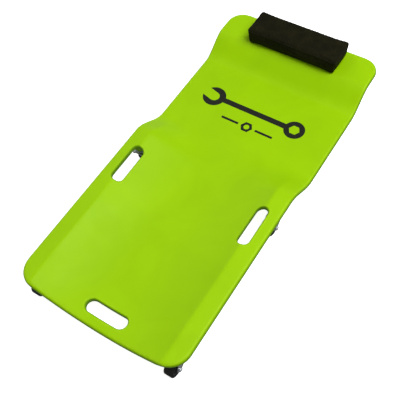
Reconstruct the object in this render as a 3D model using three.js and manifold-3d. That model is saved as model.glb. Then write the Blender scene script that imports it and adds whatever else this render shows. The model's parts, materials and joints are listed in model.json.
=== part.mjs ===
// Mechanics creeper: a one-piece moulded deck with a dished bed and raised side rails, a padded
// head rest screwed to its raised head panel, and six swivel casters pushed into sockets under it.
// Frame: millimetres, +Z up, +Y towards the head end, origin on the floor under the deck's centre.
// Lengths called v run along the deck from the foot edge; left is -X and right is +X.

import * as THREE from 'three';
import { mergeVertices } from 'three/addons/utils/BufferGeometryUtils.js';
import Module from 'manifold-3d';

const wasm = await Module();
wasm.setup();

const gap = 0.3;                 // clearance kept between any two pieces that touch or fit
const turnSegments = 12;         // facets round each piece that turns on the kingpin

// Deck, overall
const deckLength = 1013;
const deckWidth = 464;
const railOverCaster = 32.1;     // rail's outer edge above the caster's hat
const footCornerRadius = 56;
const headCornerRadius = 48;
const wall = 5;                  // skin thickness
const rimDepth = 9;              // depth of the turned-down edge, from the top face
const rimWall = 5;

// Deck, cross-section and long section
const railWidth = 45;            // from the deck's side to the ridge of the rail
const ridgeRise = 3;             // ridge above the rail's outer edge
const dishDepth = 50;            // centre of the bed below the rail's outer edge
const footDip = 40;              // the same at the foot edge
const footDipLength = 98;
const railEnd = 497;             // where the rails start to run down to the shoulder bed
const shoulderStart = 609;
const shoulderDrop = 51;         // flat shoulder bed below the rail's outer edge
const headRiseLength = 92;
const headPanelLength = 86;
const headDrop = 6;              // flat head panel below the rail's outer edge

// Stiffening ribs and hand slots
const ribThickness = 3;
const ribDepth = 22;             // from the deck's top face to the rib's lower edge
const ribSpacingX = 62;
const ribPitch = 116;
const ribSetback = 24;           // rib ends short of the deck's edge
const ribColumns = 2;            // ribs on each side of the centre one
const collarDepth = 14;          // turned-down edge of each hand slot, from the top face
const collarWall = 4;
const fingerRoom = 22;           // space kept free of ribs around each hand slot
const sideSlotSize = { width: 30, length: 114, radius: 14 };
const sideSlotInside = 2;        // slot's centre line inside the ridge
const sideSlotV = 395;
const footSlotSize = { width: 114, length: 34, radius: 17 };
const footSlotV = 46;

// Head pad
const padWidth = 276;
const padLength = 92;
const padHeight = 47.5;
const padCornerRadius = 7;
const padFromHeadEdge = 9.5;
const boardThickness = 5;
const boardInset = 9;            // board edge inside the pad's side
const screwRadius = 2.1;
const screwHeadRadius = 5.2;
const screwHeadHeight = 3.2;
const screwSpacingX = 180;
const screwSpacingY = 40;

// Casters
const wheelRadius = 25.4;
const wheelWidth = 24;
const casterTrail = 19;          // kingpin axis to axle axis
const forkSheet = 2.5;
const forkSideRoom = 1.2;        // between the tyre's side and the fork leg
const forkCrownRoom = 3.2;       // between the top of the wheel and the fork crown
const crownHalfLength = 17;
const axleEyeRadius = 8.5;
const axleRadius = 3;
const hexAcrossFlats = 10;
const boltHeadHeight = 4;
const nutHeight = 5;
const tyreDepth = 6.4;
const kingpinRadius = 4;
const kingpinHeadRadius = 7.5;
const kingpinHeadHeight = 2.5;
const cageHeight = 2.8;
const cageWidth = 7.6;
const hatThickness = 3;
const hatWall = 1.4;
const stemRadius = 5.5;
const stemLength = 19;
const ringThickness = 1.7;       // spring ring's radial thickness
const ringHeight = 2.4;
const ringOpening = Math.PI / 3;
const socketWall = 6;
const gussetReach = 12;          // beyond the socket's side
const footCasters = { fromSide: 38, fromFoot: 50 };
const middleCasters = { fromSide: 30, beforeRailEnd: 28 };
const headCasters = { fromSide: 42, fromHead: 54 };
const casterTurns = { middle_left: Math.PI };   // swivelled round from trailing to the foot end

// Sizes that follow from the ones above
const crownUnder = 2 * wheelRadius + forkCrownRoom;
const crownTop = crownUnder + forkSheet;
const hatUnder = crownTop + cageHeight + 2 * gap;
const hatTop = hatUnder + hatThickness;
const stemTop = hatTop + stemLength;
const railTop = hatTop + railOverCaster;
const halfWidth = deckWidth / 2;
const ridgeX = halfWidth - railWidth;
const headPanelStart = deckLength - headPanelLength;
const headRiseStart = headPanelStart - headRiseLength;
const headPanelZ = railTop - headDrop;
const padV = deckLength - padFromHeadEdge - padLength / 2;
const padFootZ = headPanelZ + gap;
const cageInner = kingpinRadius + gap + 1.2;
const cageOuter = cageInner + cageWidth;
const hatRadius = cageOuter + gap + hatWall;
const grooveRadius = stemRadius - ringThickness + 2 * gap;
const socketBore = grooveRadius + ringThickness + 2 * gap;
const socketRadius = socketBore + socketWall;
const socketFloor = hatTop + gap;
const legInner = wheelWidth / 2 + forkSideRoom;
const legOuter = legInner + forkSheet;

const deckPlastic = { color: 0x9fd000, roughness: 0.42, metalness: 0.0 };
const padVinyl = { color: 0x201d15, roughness: 0.6, metalness: 0.0 };
const fibreboard = { color: 0x7a5a38, roughness: 0.85, metalness: 0.0 };
const zincSteel = { color: 0xb9bcc0, roughness: 0.35, metalness: 0.9 };
const springSteel = { color: 0x6f7378, roughness: 0.4, metalness: 0.9 };
const hubPlastic = { color: 0x33353a, roughness: 0.55, metalness: 0.0 };
const tyreRubber = { color: 0x141414, roughness: 0.75, metalness: 0.0 };

// Shared vertices, no zero-area triangles, and every face pointing out.
function welded(geometry) {
  const bare = geometry.clone();
  bare.deleteAttribute('normal');
  bare.deleteAttribute('uv');
  const merged = mergeVertices(bare, 1e-4);
  const place = merged.getAttribute('position');
  const corner = [new THREE.Vector3(), new THREE.Vector3(), new THREE.Vector3()];
  const kept = [];
  let volume = 0;
  for (let i = 0; i < merged.index.count; i += 3) {
    const [a, b, c] = [0, 1, 2].map((k) => merged.index.getX(i + k));
    if (a === b || b === c || c === a) continue;
    [a, b, c].forEach((index, k) => corner[k].fromBufferAttribute(place, index));
    volume += corner[0].dot(corner[1].cross(corner[2])) / 6;
    kept.push(a, b, c);
  }
  merged.setIndex(volume > 0 ? kept : kept.reverse());
  return merged;
}

function toSolid(geometry) {
  const mesh = welded(geometry);
  return new wasm.Manifold(new wasm.Mesh({
    numProp: 3,
    vertProperties: new Float32Array(mesh.getAttribute('position').array),
    triVerts: new Uint32Array(mesh.index.array),
  }));
}

function toGeometry(solid) {
  const mesh = solid.getMesh();
  const geometry = new THREE.BufferGeometry();
  geometry.setAttribute('position', new THREE.BufferAttribute(mesh.vertProperties, 3));
  geometry.setIndex(new THREE.BufferAttribute(mesh.triVerts, 1));
  return geometry;
}

// A closed profile of [radius, height] points turned about Z, or about X when lying is true.
function turned(profile, segments, lying = false) {
  const points = profile.map(([radius, height]) => new THREE.Vector2(radius, height));
  const geometry = new THREE.LatheGeometry(points, segments);
  return welded(lying ? geometry.rotateZ(-Math.PI / 2) : geometry.rotateX(Math.PI / 2));
}

function tube(inner, outer, low, high, segments, lying = false) {
  const profile = [[inner, low], [outer, low], [outer, high], [inner, high], [inner, low]];
  return turned(profile, segments, lying);
}

function rod(radius, low, high, segments, lying = false) {
  return turned([[0, low], [radius, low], [radius, high], [0, high]], segments, lying);
}

// A rectangle with rounded corners, of one radius at the low end and one at the high end.
function roundedRectangle(halfX, lowY, highY, lowRadius, highRadius) {
  const shape = new THREE.Shape();
  shape.absarc(halfX - lowRadius, lowY + lowRadius, lowRadius, -Math.PI / 2, 0, false);
  shape.absarc(halfX - highRadius, highY - highRadius, highRadius, 0, Math.PI / 2, false);
  shape.absarc(highRadius - halfX, highY - highRadius, highRadius, Math.PI / 2, Math.PI, false);
  shape.absarc(lowRadius - halfX, lowY + lowRadius, lowRadius, Math.PI, 1.5 * Math.PI, false);
  return shape;
}

function prism(shape, low, high, curveSegments = 6) {
  const settings = { depth: high - low, bevelEnabled: false, curveSegments };
  return new THREE.ExtrudeGeometry(shape, settings).translate(0, 0, low);
}

function smoothstep(value, start, end) {
  const t = THREE.MathUtils.clamp((value - start) / (end - start), 0, 1);
  return t * t * (3 - 2 * t);
}

function span(start, end, steps) {
  return Array.from({ length: steps + 1 }, (_, i) => start + (end - start) * i / steps);
}

// Height of the dished foot half: a parabola between the ridges, and a plane out to the side.
function dishedSection(x, v) {
  const side = Math.abs(x);
  if (side >= ridgeX) return ridgeRise * (halfWidth - side) / railWidth;
  const depth = footDip + (dishDepth - footDip) * smoothstep(v, 0, footDipLength);
  return ridgeRise - (depth + ridgeRise) * (1 - (x / ridgeX) ** 2);
}

// Height of the deck's top face: dished foot half, flat shoulder bed, then the head panel.
function deckTop(x, v) {
  const shoulder = smoothstep(v, railEnd, shoulderStart);
  const head = smoothstep(v, headRiseStart, headPanelStart);
  const lowered = dishedSection(x, v) * (1 - shoulder) - shoulderDrop * shoulder;
  return railTop + lowered + (shoulderDrop - headDrop) * head;
}

// The closed layer between two depths below the deck's top face, a little larger than the deck.
function deckLayer(upperDepth, lowerDepth) {
  const past = 10;
  const xs = [-halfWidth - past, ...span(-ridgeX, ridgeX, 12), halfWidth + past];
  const vs = [-past, ...span(0, footDipLength, 3), ...span(railEnd, shoulderStart, 6),
    ...span(headRiseStart, headPanelStart, 6), deckLength + past];
  const positions = [];
  for (const depth of [upperDepth, lowerDepth]) {
    for (const v of vs) {
      for (const x of xs) positions.push(x, v - deckLength / 2, deckTop(x, v) - depth);
    }
  }
  const at = (i, j, level) => (level * vs.length + j) * xs.length + i;
  const index = [];
  const quad = (a, b, c, d) => index.push(a, b, c, a, c, d);
  const [lastI, lastJ] = [xs.length - 1, vs.length - 1];
  for (let j = 0; j < lastJ; j += 1) {
    for (let i = 0; i < lastI; i += 1) {
      quad(at(i, j, 0), at(i + 1, j, 0), at(i + 1, j + 1, 0), at(i, j + 1, 0));
      quad(at(i, j, 1), at(i, j + 1, 1), at(i + 1, j + 1, 1), at(i + 1, j, 1));
    }
    quad(at(0, j, 0), at(0, j + 1, 0), at(0, j + 1, 1), at(0, j, 1));
    quad(at(lastI, j, 0), at(lastI, j, 1), at(lastI, j + 1, 1), at(lastI, j + 1, 0));
  }
  for (let i = 0; i < lastI; i += 1) {
    quad(at(i, 0, 0), at(i, 0, 1), at(i + 1, 0, 1), at(i + 1, 0, 0));
    quad(at(i, lastJ, 0), at(i + 1, lastJ, 0), at(i + 1, lastJ, 1), at(i, lastJ, 1));
  }
  const geometry = new THREE.BufferGeometry();
  geometry.setAttribute('position', new THREE.Float32BufferAttribute(positions, 3));
  geometry.setIndex(index);
  return toSolid(geometry);
}

function deckPrism(inset) {
  const half = deckLength / 2 - inset;
  const radii = [footCornerRadius - inset, headCornerRadius - inset];
  const shape = roundedRectangle(halfWidth - inset, -half, half, ...radii);
  return toSolid(prism(shape, -railTop, 2 * railTop, 8));
}

// Upright prisms of the three hand slots, grown outwards by a margin.
function slotPrisms(margin) {
  const slotX = ridgeX - sideSlotInside;
  const slots = [
    { ...sideSlotSize, x: -slotX, v: sideSlotV },
    { ...sideSlotSize, x: slotX, v: sideSlotV },
    { ...footSlotSize, x: 0, v: footSlotV },
  ];
  return wasm.Manifold.union(slots.map((slot) => {
    const [halfX, halfY] = [slot.width / 2 + margin, slot.length / 2 + margin];
    const radius = slot.radius + margin;
    const shape = roundedRectangle(halfX, -halfY, halfY, radius, radius);
    const upright = prism(shape, -railTop, 2 * railTop, 4);
    return toSolid(upright.translate(slot.x, slot.v - deckLength / 2, 0));
  }));
}

function plate(sizeX, sizeY, x, y) {
  const box = new THREE.BoxGeometry(sizeX, sizeY, 4 * railTop);
  return toSolid(box.translate(x, y, 0));
}

function ribGrid() {
  const plates = [];
  for (let column = -ribColumns; column <= ribColumns; column += 1) {
    plates.push(plate(ribThickness, deckLength, column * ribSpacingX, 0));
  }
  for (let v = ribPitch; v < deckLength - ribPitch / 2; v += ribPitch) {
    plates.push(plate(deckWidth, ribThickness, 0, v - deckLength / 2));
  }
  return wasm.Manifold.union(plates).intersect(deckLayer(wall / 2, ribDepth));
}

// Kingpin places: a pair of casters at each end, and a pair where the rails end.
const casterPlaces = [
  { end: 'foot', fromSide: footCasters.fromSide, v: footCasters.fromFoot },
  { end: 'middle', fromSide: middleCasters.fromSide, v: railEnd - middleCasters.beforeRailEnd },
  { end: 'head', fromSide: headCasters.fromSide, v: deckLength - headCasters.fromHead },
].flatMap(({ end, fromSide, v }) => [
  { name: `${end}_left`, x: fromSide - halfWidth, y: v - deckLength / 2 },
  { name: `${end}_right`, x: halfWidth - fromSide, y: v - deckLength / 2 },
]).map((place) => ({ ...place, turn: casterTurns[place.name] ?? 0 }));

// Round sockets under the deck with four gussets each, reaching up into the skin.
function sockets() {
  const reach = 2 * (socketRadius + gussetReach);
  const gussetFloor = socketFloor + 4;
  const pieces = casterPlaces.flatMap(({ x, y }) => [
    toSolid(rod(socketRadius, socketFloor, railTop, 16).translate(x, y, 0)),
    ...[[reach, ribThickness], [ribThickness, reach]].map(([sizeX, sizeY]) => {
      const fin = new THREE.BoxGeometry(sizeX, sizeY, railTop);
      return toSolid(fin.translate(x, y, gussetFloor + railTop / 2));
    }),
  ]);
  return wasm.Manifold.union(pieces).intersect(deckLayer(wall / 2, railTop));
}

function socketBores() {
  return wasm.Manifold.union(casterPlaces.map(({ x, y }) => {
    const bore = rod(socketBore, socketFloor - 1, stemTop + gap, 16);
    return toSolid(bore.translate(x, y, 0));
  }));
}

const screwPlaces = [-1, 1].flatMap((sideX) => [-1, 1].map((sideY) => ({
  x: sideX * screwSpacingX / 2,
  y: padV - deckLength / 2 + sideY * screwSpacingY / 2,
})));

function screwHoles(low, high) {
  return wasm.Manifold.union(screwPlaces.map(({ x, y }) => (
    toSolid(rod(screwRadius + gap, low, high, 12).translate(x, y, 0)))));
}

function deckGeometry() {
  const outside = deckPrism(0);
  const inside = deckPrism(rimWall);
  const skin = deckLayer(0, wall).intersect(outside);
  const rim = deckLayer(0, rimDepth).intersect(outside.subtract(inside));
  const collars = deckLayer(0, collarDepth).intersect(slotPrisms(collarWall)).intersect(outside);
  const ribs = ribGrid().subtract(slotPrisms(fingerRoom)).intersect(deckPrism(ribSetback));
  const body = wasm.Manifold.union([skin, rim, collars, ribs, sockets().intersect(outside)]);
  const cuts = [slotPrisms(0), socketBores(), screwHoles(headPanelZ - 2 * wall, railTop)];
  return toGeometry(body.subtract(wasm.Manifold.union(cuts)));
}

// A padded block, hollowed underneath to take its backing board.
function padGeometry() {
  const [halfX, halfY] = [padWidth / 2, padLength / 2];
  const radius = padCornerRadius;
  const block = prism(roundedRectangle(halfX, -halfY, halfY, radius, radius), 0, padHeight, 3);
  const [roomX, roomY] = [halfX - boardInset + gap, halfY - boardInset + gap];
  const room = new THREE.BoxGeometry(2 * roomX, 2 * roomY, 2 * (boardThickness + gap));
  return toGeometry(toSolid(block).subtract(toSolid(room)))
    .translate(0, padV - deckLength / 2, padFootZ);
}

function boardGeometry() {
  const [sizeX, sizeY] = [padWidth - 2 * boardInset, padLength - 2 * boardInset];
  const board = new THREE.BoxGeometry(sizeX, sizeY, boardThickness);
  board.translate(0, padV - deckLength / 2, padFootZ + boardThickness / 2);
  const holes = screwHoles(padFootZ - 1, padFootZ + boardThickness + 1);
  return toGeometry(toSolid(board).subtract(holes));
}

// A pan-head screw driven up through the head panel into the board.
function screwGeometry() {
  const seat = headPanelZ - wall - gap;
  const tip = padFootZ + boardThickness - 1;
  return turned([
    [0, seat - screwHeadHeight],
    [screwHeadRadius * 0.7, seat - screwHeadHeight],
    [screwHeadRadius, seat - screwHeadHeight * 0.4],
    [screwHeadRadius, seat],
    [screwRadius, seat],
    [screwRadius, tip - 2],
    [0, tip],
  ], 12);
}

// Kingpin, thrust hat and grip stem in one turned piece.
function stemGeometry() {
  const headTop = crownUnder - gap;
  const grooveLow = hatTop + stemLength * 0.66;
  const grooveHigh = grooveLow + ringHeight + 2 * gap;
  return turned([
    [0, headTop - kingpinHeadHeight],
    [kingpinHeadRadius * 0.7, headTop - kingpinHeadHeight],
    [kingpinHeadRadius, headTop],
    [kingpinRadius, headTop],
    [kingpinRadius, hatUnder],
    [hatRadius - hatWall, hatUnder],
    [hatRadius - hatWall, crownTop + 2 * gap],
    [hatRadius, crownTop + 2 * gap],
    [hatRadius, hatTop - 1],
    [hatRadius - 1, hatTop],
    [stemRadius, hatTop],
    [stemRadius, grooveLow],
    [grooveRadius, grooveLow],
    [grooveRadius, grooveHigh],
    [stemRadius, grooveHigh],
    [stemRadius, stemTop - 1.5],
    [stemRadius - 1.5, stemTop],
    [0, stemTop],
  ], turnSegments);
}

// An open spring ring that sits in the stem's groove and grips the socket.
function gripRingGeometry() {
  const inner = grooveRadius + gap;
  const outer = inner + ringThickness;
  const [start, end] = [ringOpening / 2, 2 * Math.PI - ringOpening / 2];
  const shape = new THREE.Shape();
  shape.absarc(0, 0, outer, start, end, false);
  shape.absarc(0, 0, inner, end, start, true);
  const low = hatTop + stemLength * 0.66 + gap;
  return prism(shape, low, low + ringHeight, 6);
}

function cageGeometry() {
  return tube(cageInner, cageOuter, crownTop + gap, hatUnder - gap, turnSegments);
}

// A folded steel fork: a U section cut to the fork's side outline.
function forkGeometry() {
  const bend = forkSheet;
  const section = new THREE.Shape();
  section.moveTo(-legOuter, 0);
  section.lineTo(-legOuter, crownTop - bend);
  section.lineTo(-legOuter + bend, crownTop);
  section.lineTo(legOuter - bend, crownTop);
  section.lineTo(legOuter, crownTop - bend);
  section.lineTo(legOuter, 0);
  section.lineTo(legInner, 0);
  section.lineTo(legInner, crownUnder);
  section.lineTo(-legInner, crownUnder);
  section.lineTo(-legInner, 0);
  section.closePath();
  const reach = 2 * (casterTrail + wheelRadius);
  const folded = prism(section, -reach, reach).rotateX(Math.PI / 2);

  const side = new THREE.Shape();
  side.moveTo(-crownHalfLength, crownTop + 1);
  side.lineTo(crownHalfLength, crownTop + 1);
  side.lineTo(crownHalfLength, crownUnder - 4);
  side.absarc(-casterTrail, wheelRadius, axleEyeRadius, -0.6, Math.PI, true);
  side.lineTo(-crownHalfLength - 3, crownUnder - 6);
  side.closePath();
  const alongX = new THREE.Matrix4().makeBasis(
    new THREE.Vector3(0, 1, 0), new THREE.Vector3(0, 0, 1), new THREE.Vector3(1, 0, 0));
  const silhouette = prism(side, -2 * legOuter, 2 * legOuter).applyMatrix4(alongX);

  const kingpinHole = rod(kingpinRadius + gap, crownUnder - 1, crownTop + 1, turnSegments);
  const axleHole = rod(axleRadius + gap, -2 * legOuter, 2 * legOuter, 12, true)
    .translate(0, -casterTrail, wheelRadius);
  return toGeometry(toSolid(folded).intersect(toSolid(silhouette))
    .subtract(toSolid(kingpinHole)).subtract(toSolid(axleHole)));
}

const hexRadius = hexAcrossFlats / Math.sqrt(3);

// A hex-head bolt along X, its head outside the +X leg and its end past the nut.
function axleBoltGeometry() {
  const seat = legOuter + gap;
  const end = -(legOuter + gap + nutHeight + 1.5);
  const head = rod(hexRadius, seat, seat + boltHeadHeight, 6, true);
  const shank = rod(axleRadius, end, seat + 1, 12, true);
  return toGeometry(toSolid(head).add(toSolid(shank)));
}

function axleNutGeometry() {
  const seat = -(legOuter + gap);
  const nut = toSolid(rod(hexRadius, seat - nutHeight, seat, 6, true));
  const bore = toSolid(rod(axleRadius + gap, seat - nutHeight - 1, seat + 1, 12, true));
  return toGeometry(nut.subtract(bore));
}

// The wheel's centre: boss, thin web and rim in one piece turned about X.
function hubGeometry() {
  const bossRadius = axleRadius + 5;
  const rimOuter = wheelRadius - tyreDepth - gap;
  const rimInner = rimOuter - 3.2;
  const halfBoss = legInner - 0.7;
  const halfRim = wheelWidth / 2 - 1;
  const halfWeb = 3;
  const bore = axleRadius + gap;
  return turned([
    [bore, -halfBoss], [bossRadius, -halfBoss], [bossRadius, -halfWeb], [rimInner, -halfWeb],
    [rimInner, -halfRim], [rimOuter, -halfRim], [rimOuter, halfRim], [rimInner, halfRim],
    [rimInner, halfWeb], [bossRadius, halfWeb], [bossRadius, halfBoss], [bore, halfBoss],
    [bore, -halfBoss],
  ], 12, true);
}

function tyreGeometry() {
  const inner = wheelRadius - tyreDepth;
  const half = wheelWidth / 2;
  return turned([
    [inner, -half], [wheelRadius - 2, -half], [wheelRadius, -half + 3.5],
    [wheelRadius, half - 3.5], [wheelRadius - 2, half], [inner, half], [inner, -half],
  ], 24, true);
}

function piece(name, geometry, finish) {
  const mesh = new THREE.Mesh(geometry, new THREE.MeshStandardMaterial(finish));
  mesh.name = name;
  return mesh;
}

// One caster. With no turn it trails towards the foot end, its bolt's head on the deck's outer side.
function caster({ name, x, y, turn }) {
  const group = new THREE.Group();
  group.position.set(x, y, 0);
  group.add(
    piece(`${name}_stem`, stemGeometry(), zincSteel),
    piece(`${name}_grip_ring`, gripRingGeometry(), springSteel),
  );
  const swivel = new THREE.Group();
  swivel.rotation.z = turn;
  swivel.add(
    piece(`${name}_ball_cage`, cageGeometry(), springSteel),
    piece(`${name}_fork`, forkGeometry(), zincSteel),
  );
  const axle = new THREE.Group();
  axle.position.set(0, -casterTrail, wheelRadius);
  axle.rotation.z = x < 0 ? Math.PI : 0;
  axle.add(
    piece(`${name}_axle_bolt`, axleBoltGeometry(), zincSteel),
    piece(`${name}_axle_nut`, axleNutGeometry(), zincSteel),
    piece(`${name}_wheel_hub`, hubGeometry(), hubPlastic),
    piece(`${name}_tyre`, tyreGeometry(), tyreRubber),
  );
  swivel.add(axle);
  group.add(swivel);
  return group;
}

const creeper = new THREE.Group();
creeper.add(
  piece('deck', deckGeometry(), deckPlastic),
  piece('head_pad', padGeometry(), padVinyl),
  piece('pad_board', boardGeometry(), fibreboard),
);
screwPlaces.forEach(({ x, y }, i) => {
  const screw = piece(`pad_screw_${i + 1}`, screwGeometry(), zincSteel);
  screw.position.set(x, y, 0);
  creeper.add(screw);
});
casterPlaces.forEach((place) => creeper.add(caster(place)));

export default creeper;
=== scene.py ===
import json
import math

import bmesh
import bpy
import numpy as np
from mathutils import Matrix, Vector
from mathutils.bvhtree import BVHTree


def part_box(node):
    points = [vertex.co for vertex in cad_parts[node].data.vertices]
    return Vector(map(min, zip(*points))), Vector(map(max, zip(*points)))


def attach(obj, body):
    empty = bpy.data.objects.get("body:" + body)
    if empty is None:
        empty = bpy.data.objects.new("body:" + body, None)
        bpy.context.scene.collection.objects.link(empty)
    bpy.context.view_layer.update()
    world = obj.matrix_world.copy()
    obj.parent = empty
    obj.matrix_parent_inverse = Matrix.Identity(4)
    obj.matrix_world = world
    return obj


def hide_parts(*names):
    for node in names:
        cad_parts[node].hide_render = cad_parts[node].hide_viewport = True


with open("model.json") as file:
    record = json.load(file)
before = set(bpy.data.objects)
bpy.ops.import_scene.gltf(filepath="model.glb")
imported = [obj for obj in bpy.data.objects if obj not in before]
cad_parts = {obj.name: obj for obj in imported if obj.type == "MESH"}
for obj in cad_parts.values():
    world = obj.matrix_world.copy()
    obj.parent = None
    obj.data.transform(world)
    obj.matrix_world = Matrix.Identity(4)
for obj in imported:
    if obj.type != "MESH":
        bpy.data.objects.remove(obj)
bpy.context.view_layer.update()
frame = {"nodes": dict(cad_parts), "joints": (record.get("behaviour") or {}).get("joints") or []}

# A mechanics creeper in metres: +Z up, +Y towards the head pad, origin on the floor under the
# deck's centre. v is the distance along the deck from its foot edge.

mm = 0.001
rootBody = "frame_deck"
deckLow, deckHigh = [np.array(corner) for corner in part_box("deck")]
deckLength = deckHigh[1] - deckLow[1]
halfWidth = (deckHigh[0] - deckLow[0]) / 2

deckShape = {
    "railWidth": 45 * mm,        # deck's side to the ridge of the rail
    "ridgeRise": 3 * mm,         # ridge above the rail's outer edge
    "ridgeSoftness": 3 * mm,     # how softly the ridge is rounded
    "dishDepth": 50 * mm,        # bed's centre below the rail's outer edge
    "footDip": 40 * mm,          # the same at the foot edge
    "footDipLength": 98 * mm,
    "railEnd": 497 * mm,
    "shoulderStart": 609 * mm,
    "shoulderDrop": 51 * mm,
    "headRiseLength": 92 * mm,
    "headPanelLength": 86 * mm,
    "headDrop": 6 * mm,
    "footCorner": 56 * mm,
    "headCorner": 48 * mm,
    "wall": 5 * mm,
    "rimDepth": 11 * mm,
    "rimRound": 8 * mm,          # rounded outer edge, and the rim's wall
    "collarDepth": 14 * mm,
    "collarRound": 4 * mm,       # rounded slot edge, and the collar's wall
    "lipFoot": 1.2 * mm,         # small rounding of the lower edge of the rim and collars
    "edgeReach": 12 * mm,        # how far in from the edges the painted highlight and painted shade reach
}
railTop = deckHigh[2] - deckShape["ridgeRise"]
ridgeX = halfWidth - deckShape["railWidth"]

# Hand slots: centre x and v, half width, half length and corner radius of the opening
handSlots = [
    (2 * mm - ridgeX, 395 * mm, 15 * mm, 57 * mm, 14 * mm),
    (ridgeX - 2 * mm, 395 * mm, 15 * mm, 57 * mm, 14 * mm),
    (0.0, 46 * mm, 57 * mm, 17 * mm, 17 * mm),
]

deckGrid = {
    "step": 5 * mm,              # spacing across the bed
    "ridgeStep": 2.4 * mm,       # spacing across the ridge
    "rowStep": 7 * mm,           # spacing along the deck
    "squeezeFrom": 140 * mm,     # columns past this follow the rounded corners
    "cornerRows": 15,            # rows round a corner
    "clearance": 1.2 * mm,       # rows closer than this to a fixed row are left out
    "sameRow": 0.2 * mm,         # rows closer than this are one row
    "slotWindow": 9 * mm,        # the plain grid stops this far outside a slot's collar
    "slotRings": 6,              # rings from that window in to the slot's edge
}


def placed(name, data):
    # a new object in the scene
    thing = bpy.data.objects.new(name, data)
    bpy.context.scene.collection.objects.link(thing)
    return thing


def places(mesh, what="co"):
    # every vertex's place, or its normal, as one array
    found = np.empty(len(mesh.vertices) * 3)
    mesh.vertices.foreach_get(what, found)
    return found.reshape(-1, 3)


def setPlaces(mesh, points):
    mesh.vertices.foreach_set("co", np.ascontiguousarray(points, float).ravel())
    mesh.update()


def finishPiece(piece, body, material, smooth=40):
    # smooth shading up to an angle in degrees, then material and body
    piece.data.shade_smooth()
    piece.data.set_sharp_from_angle(angle=math.radians(smooth))
    piece.data.materials.clear()
    piece.data.materials.append(material)
    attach(piece, body)


def addMesh(name, patches, body, material, smooth=40):
    # one object at the origin, its doubles merged and its faces pointing out
    mesh = bpy.data.meshes.new(name)
    mesh.from_pydata(np.concatenate(patches.points).tolist(), [], patches.faces)
    piece = placed(name, mesh)
    work = bmesh.new()
    work.from_mesh(mesh)
    bmesh.ops.remove_doubles(work, verts=work.verts, dist=1e-6)
    bmesh.ops.dissolve_degenerate(work, edges=work.edges, dist=1e-7)
    bmesh.ops.recalc_face_normals(work, faces=work.faces)
    work.to_mesh(mesh)
    work.free()
    finishPiece(piece, body, material, smooth)
    return piece


def setAttribute(piece, name, valueAt):
    # a number at each vertex, worked out from all the vertex places at once
    values = valueAt(places(piece.data)).astype(np.float32)
    layer = piece.data.attributes.new(name, "FLOAT", "POINT")
    layer.data.foreach_set("value", values)


class Patches:
    # gathers grids of points, with quads between neighbours, into one mesh
    def __init__(self):
        self.points, self.faces, self.count = [], [], 0

    def grid(self, points, wrapRows=False, wrapColumns=False, keep=None):
        # quads join each point to the next in its row and column; keep says which quads stay
        rows, columns = points.shape[:2]
        j, i = np.meshgrid(np.arange(rows - (not wrapRows)),
                           np.arange(columns - (not wrapColumns)), indexing="ij")
        nextJ, nextI = (j + 1) % rows, (i + 1) % columns
        quads = np.stack([j * columns + i, j * columns + nextI,
                          nextJ * columns + nextI, nextJ * columns + i], -1)
        quads = quads[keep] if keep is not None else quads.reshape(-1, 4)
        self.faces += (quads + self.count).tolist()
        self.points.append(points.reshape(-1, 3))
        self.count += rows * columns

    def cap(self, ring):
        # one flat face over a closed ring of points
        self.faces.append(list(range(self.count, self.count + len(ring))))
        self.points.append(np.asarray(ring))
        self.count += len(ring)

    def tube(self, rings):
        # rings of points joined along a length, with a flat face over each end
        self.grid(rings, wrapColumns=True)
        self.cap(rings[0])
        self.cap(rings[-1])

    def turn(self, section, segments, closed=False, **placing):
        # a turned section; closed joins its last point to its first
        self.grid(turned(section, segments, **placing), wrapRows=closed, wrapColumns=True)


def turned(section, segments, centre=(0, 0, 0), axis="z", radiusAt=None):
    # section of (radius, height) points turned about an axis: x = r sin a, y = r cos a, z = h;
    # radiusAt(angle, radius, height) may reshape the radius, as for a hexagon
    section = np.asarray(section, float)
    angle = np.linspace(0, 2 * math.pi, segments, endpoint=False)[None, :]
    radius = np.repeat(section[:, :1], segments, 1)
    height = np.repeat(section[:, 1:2], segments, 1)
    if radiusAt:
        radius = radiusAt(angle, radius, height)
    across, along = radius * np.sin(angle), radius * np.cos(angle)
    turnedAbout = {"z": (across, along, height), "x": (height, across, along)}[axis]
    return np.stack(turnedAbout, -1) + np.asarray(centre, float)


def arc(centre, radius, start, end, steps=5):
    # points on a circle from one angle to another, in degrees
    angle = np.radians(np.linspace(start, end, steps))
    return np.stack([centre[0] + radius * np.cos(angle), centre[1] + radius * np.sin(angle)], -1)


def profile(*runs):
    # joins runs of points into one line of points
    return np.concatenate([np.atleast_2d(np.asarray(run, float)) for run in runs])


def smoothStep(value, start, end):
    # 3t² - 2t³ of how far value is from start to end, held at 0 and 1 outside
    t = np.clip((value - start) / (end - start), 0, 1)
    return t * t * (3 - 2 * t)


def softLower(first, second, width):
    # the lower of two heights, rounded over where they differ by less than width
    near = np.clip(width - np.abs(first - second), 0, None) / width
    return np.minimum(first, second) - near * near * width / 4


def deckTop(x, v):
    # height of the deck's top face: the lower of a parabola between the ridges and a plane out
    # to the side, running down to the flat shoulder bed and up again to the flat head panel
    s = deckShape
    side = np.abs(x)
    depth = s["footDip"] + (s["dishDepth"] - s["footDip"]) * smoothStep(v, 0, s["footDipLength"])
    dish = s["ridgeRise"] - (depth + s["ridgeRise"]) * (1 - (side / ridgeX) ** 2)
    rail = s["ridgeRise"] * (halfWidth - side) / s["railWidth"]
    lowered = softLower(dish, rail, s["ridgeSoftness"])
    shoulder = smoothStep(v, s["railEnd"], s["shoulderStart"])
    panelStart = deckLength - s["headPanelLength"]
    head = smoothStep(v, panelStart - s["headRiseLength"], panelStart)
    height = lowered * (1 - shoulder) - s["shoulderDrop"] * shoulder
    return railTop + height + (s["shoulderDrop"] - s["headDrop"]) * head


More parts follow.
